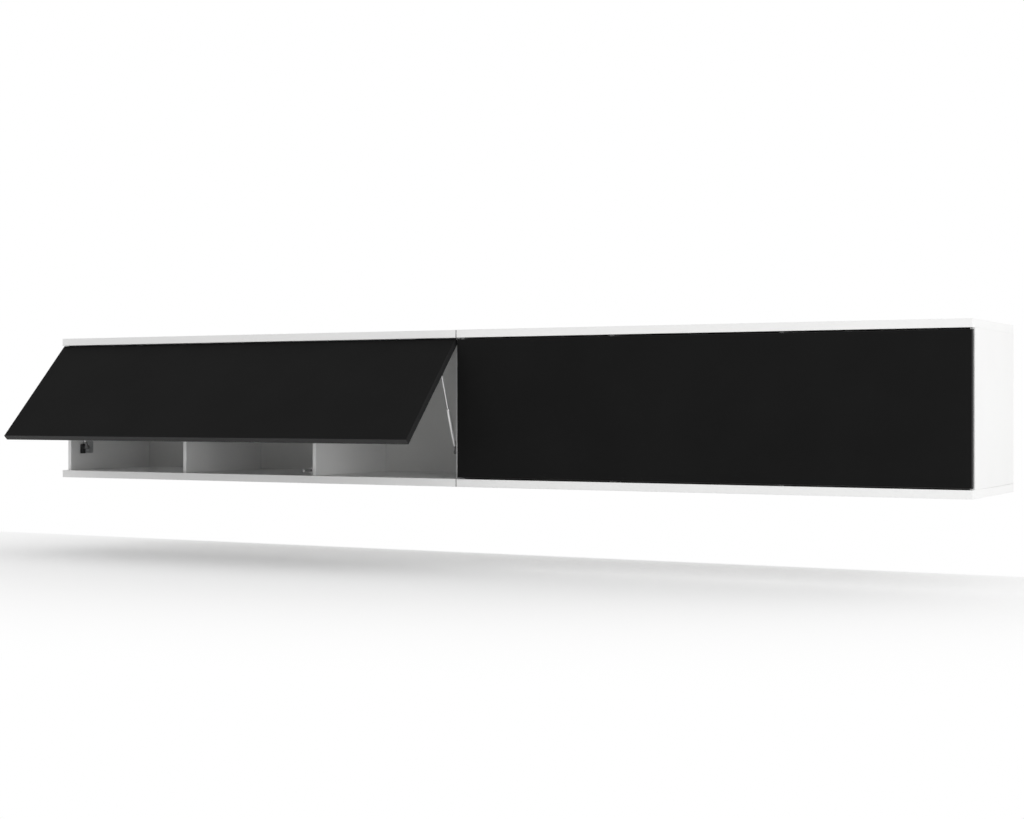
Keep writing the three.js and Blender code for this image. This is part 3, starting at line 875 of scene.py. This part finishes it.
def dress_latch(side):
    """Plunger, case and foot of a push latch, and its strike plate on the flap."""
    body, plunger, travelling = f"{side}_latch_body", f"{side}_latch_plunger", f"{side}_plunger"
    low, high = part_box(plunger)
    axis_x, axis_z = (low.x + high.x) / 2, (low.z + high.z) / 2
    chamfers = (PLUNGER_CHAMFER, PLUNGER_CHAMFER / 2)
    tip = turned_solid(rod_profile(PLUNGER_HEAD_RADIUS, 0, PLUNGER_HEAD_LENGTH, *chamfers), "Y")
    tip = moved(tip, axis_x, low.y, axis_z)
    add_piece(f"{plunger}_tip", tip, travelling, [PLASTIC])
    stem_length = high.y - low.y - PLUNGER_HEAD_LENGTH - PLUNGER_TIP_SEAT
    stem = turned_solid(rod_profile(PLUNGER_RADIUS, 0, stem_length, end_chamfer=PLUNGER_CHAMFER), "Y")
    stem = moved(stem, axis_x, high.y - stem_length, axis_z)
    add_piece(f"{plunger}_stem", stem, travelling, [DEEP_PLASTIC], stands_for=[plunger])

    low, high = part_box(body)
    length = high.y - low.y
    case = turned_solid([
        (0, LATCH_BORE_DEPTH),
        (LATCH_BORE, LATCH_BORE_DEPTH),
        (LATCH_BORE, LATCH_MOUTH_DEPTH),
        (LATCH_MOUTH, LATCH_MOUTH_DEPTH),
        (LATCH_MOUTH, 0),
        (LATCH_RADIUS - LATCH_CHAMFER, 0),
        (LATCH_RADIUS, LATCH_CHAMFER),
        (LATCH_RADIUS, LATCH_COLLAR - LATCH_CHAMFER),
        (LATCH_WAIST, LATCH_COLLAR),
        (LATCH_WAIST, length - LATCH_CHAMFER),
        (LATCH_WAIST - LATCH_CHAMFER, length),
        (0, length),
    ], "Y")
    case = moved(case, axis_x, low.y, axis_z)
    add_piece(f"{body}_case", case, "carcass", [PALE_PLASTIC], stands_for=[body])
    front = low.y + LATCH_FOOT_SETBACK
    foot_low = (axis_x - LATCH_FOOT_WIDTH / 2, front, low.z)
    foot = box_solid(foot_low, (high.x, front + LATCH_FOOT_DEPTH, axis_z))
    foot = add_piece(f"{body}_foot", foot, "carcass", [PALE_PLASTIC])
    round_edges(foot, LATCH_FOOT_ROUND, MOULDED_SEGMENTS)

    node = f"{side}_latch_strike"
    place = flap_frame(side)
    add_pressed(node, f"{side}_door", ZINC, place=place, corner=(1, STRIKE_CORNER))
    low, high = box_of(node, place)
    middle = (low + high) / 2
    spots = [(middle.x + x, high.y, middle.z) for x in (-STRIKE_SCREW_REACH, STRIKE_SCREW_REACH)]
    add_screws(f"{node}_screws", f"{side}_door", STRIKE_SCREW_RADIUS, (0, 1, 0), spots, place)


def dress_rail(side):
    """Wall rail of a cabinet, and the two hangers that hook over it."""
    rail = f"{side}_wall_rail"
    add_pressed(rail, "carcass", ZINC)
    low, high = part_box(rail)
    places = [low.x + share * (high.x - low.x) for share in RAIL_HOLE_SHARES]
    spots = [(x, -RAIL_THICKNESS, -RAIL_HOLE_DROP) for x in places]
    add_screws(f"{rail}_screws", "carcass", WALL_SCREW_RADIUS, (0, -1, 0), spots)
    for number in (1, 2):
        hanger = f"{side}_hanger_{number}"
        add_pressed(hanger, "carcass", ZINC, HANGER_ROUND)
        low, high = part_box(hanger)
        spots = [((low.x + high.x) / 2, low.y, low.z + HANGER_SCREW_DROP)]
        add_screws(f"{hanger}_screws", "carcass", SCREW_RADIUS, (0, -1, 0), spots)


def dress_connector(name):
    """Bolt through both panels at the seam, with a hexagon socket in each head."""
    low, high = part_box(name)
    half = high.x
    neck = half - BOLT_HEAD_THICKNESS
    side = [
        (BOLT_COLLAR_RADIUS, BOLT_COLLAR_HALF),
        (BOLT_RADIUS, BOLT_COLLAR_HALF),
        (BOLT_RADIUS, neck),
        (BOLT_HEAD_RADIUS, neck),
        (BOLT_HEAD_RADIUS, half - BOLT_HEAD_CHAMFER),
        (BOLT_HEAD_RADIUS - BOLT_HEAD_CHAMFER, half),
        (0, half),
    ]
    bolt = turned_solid([(radius, -along) for radius, along in reversed(side)] + side, "X")
    for end in (-1, 1):
        ends = sorted((end * (half - BOLT_SOCKET_DEPTH), end * (half + BOLT_SOCKET_DEPTH)))
        socket = turned_solid(rod_profile(BOLT_SOCKET_RADIUS, *ends), "X", HEXAGON_SIDES)
        bolt = combine(bolt, socket, "DIFFERENCE")
    bolt = moved(bolt, 0, (low.y + high.y) / 2, (low.z + high.z) / 2)
    add_piece(f"{name}_bolt", bolt, "carcass", [ZINC], stands_for=[name])


# Camera, stage and light

def add_camera():
    lens = bpy.data.cameras.new("camera")
    lens.sensor_width = SENSOR_WIDTH
    lens.lens = FOCAL_PIXELS * SENSOR_WIDTH / IMAGE_WIDTH
    lens.clip_end = CAMERA_REACH
    camera = bpy.data.objects.new("camera", lens)
    camera.location = CAMERA_PLACE
    camera.rotation_euler = (QUARTER_TURN + CAMERA_PITCH, 0, CAMERA_TURN)
    bpy.context.scene.collection.objects.link(camera)
    bpy.context.scene.camera = camera


def larger(tree, first, second):
    return add_maths(tree, "ShaderNodeMath", "MAXIMUM", {0: first, 1: second}).outputs["Value"]


def seen_directly(tree):
    """1 for camera, glossy and transmission rays, 0 for the light that a surface gives to others."""
    path = add_node(tree, "ShaderNodeLightPath")
    value = path.outputs["Is Camera Ray"]
    for name in ("Is Glossy Ray", "Is Transmission Ray"):
        value = larger(tree, value, path.outputs[name])
    return value


def floor_fade(tree):
    """0 where the floor shows the shadow, 1 far from the console and past the line of the wall."""
    place = add_node(tree, "ShaderNodeTexCoord").outputs["Object"]
    depth = add_node(tree, "ShaderNodeSeparateXYZ", {"Vector": place}).outputs["Y"]
    beyond = spread(tree, depth, 0, 1, -WALL_LINE_SOFTNESS, WALL_LINE_SOFTNESS)
    kind = "ShaderNodeVectorMath"
    offset = add_maths(tree, kind, "SUBTRACT", {0: place, 1: FLOOR_FADE_MIDDLE}).outputs["Vector"]
    scaled = add_maths(tree, kind, "MULTIPLY", {0: offset, 1: FLOOR_FADE_SCALE}).outputs["Vector"]
    reach = add_maths(tree, kind, "LENGTH", {0: scaled}).outputs["Value"]
    away = spread(tree, reach, 0, 1, FLOOR_FADE_START, FLOOR_FADE_END, "SMOOTHSTEP")
    return larger(tree, beyond, away)


def floor_material():
    """Lights the console as a plain white floor, and shows its shadow slightly lifted."""
    material = bpy.data.materials.new("floor")
    tree = empty_tree(material)
    lit = add_node(tree, "ShaderNodeBsdfDiffuse", {"Color": (*grey(FLOOR_COLOUR), 1)})
    bright = add_node(tree, "ShaderNodeBsdfDiffuse", {"Color": (*grey(FLOOR_SEEN_COLOUR), 1)})
    glow = add_node(tree, "ShaderNodeEmission", {"Strength": FLOOR_GLOW})
    parts = {0: bright.outputs["BSDF"], 1: glow.outputs["Emission"]}
    lifted = add_node(tree, "ShaderNodeAddShader", parts)
    white = add_node(tree, "ShaderNodeEmission", {"Strength": WHITE_LIGHT})
    faded = mix_shaders(tree, floor_fade(tree), lifted.outputs["Shader"], white.outputs["Emission"])
    seen = mix_shaders(tree, seen_directly(tree), lit.outputs["BSDF"], faded)
    add_node(tree, "ShaderNodeOutputMaterial", {"Surface": seen})
    return material


def add_floor():
    """White floor with the console's soft shadow, plain white far from it and past the wall."""
    sheet = bmesh.new()
    bmesh.ops.create_grid(sheet, x_segments=1, y_segments=1, size=FLOOR_REACH)
    floor = bpy.data.objects.new("floor", mesh_of(sheet, "floor"))
    floor.location.z = FLOOR_Z
    floor.data.materials.append(floor_material())
    bpy.context.scene.collection.objects.link(floor)


def add_world():
    """White surroundings that light the object at a plain level."""
    world = bpy.data.worlds.new("studio")
    bpy.context.scene.world = world
    tree = empty_tree(world)
    white = (*grey(1), 1)
    light = add_node(tree, "ShaderNodeBackground", {"Color": white, "Strength": WORLD_LIGHT})
    plain = add_node(tree, "ShaderNodeBackground", {"Color": white, "Strength": WHITE_LIGHT})
    seen = seen_directly(tree)
    mixed = mix_shaders(tree, seen, light.outputs["Background"], plain.outputs["Background"])
    add_node(tree, "ShaderNodeOutputWorld", {"Surface": mixed})


def add_area(name, place, target, size, power):
    lamp = bpy.data.lights.new(name, "AREA")
    lamp.shape = "SQUARE"
    lamp.size = size
    lamp.energy = power
    holder = bpy.data.objects.new(name, lamp)
    holder.location = place
    holder.rotation_mode = "QUATERNION"
    holder.rotation_quaternion = (Vector(target) - Vector(place)).to_track_quat("-Z", "Y")
    bpy.context.scene.collection.objects.link(holder)


bpy.context.scene.view_settings.view_transform = "Standard"
add_camera()
for cabinet_side in SIDES:
    dress_boards(cabinet_side)
    dress_flap(cabinet_side)
    for hinge_number in (1, 2, 3):
        dress_hinge(cabinet_side, hinge_number)
    for strut_number in (1, 2):
        dress_strut(cabinet_side, strut_number)
    dress_latch(cabinet_side)
    dress_rail(cabinet_side)
for connector in ("connector_front", "connector_rear"):
    dress_connector(connector)
add_floor()
add_world()
add_area("key", KEY_PLACE, KEY_TARGET, KEY_SIZE, KEY_POWER)
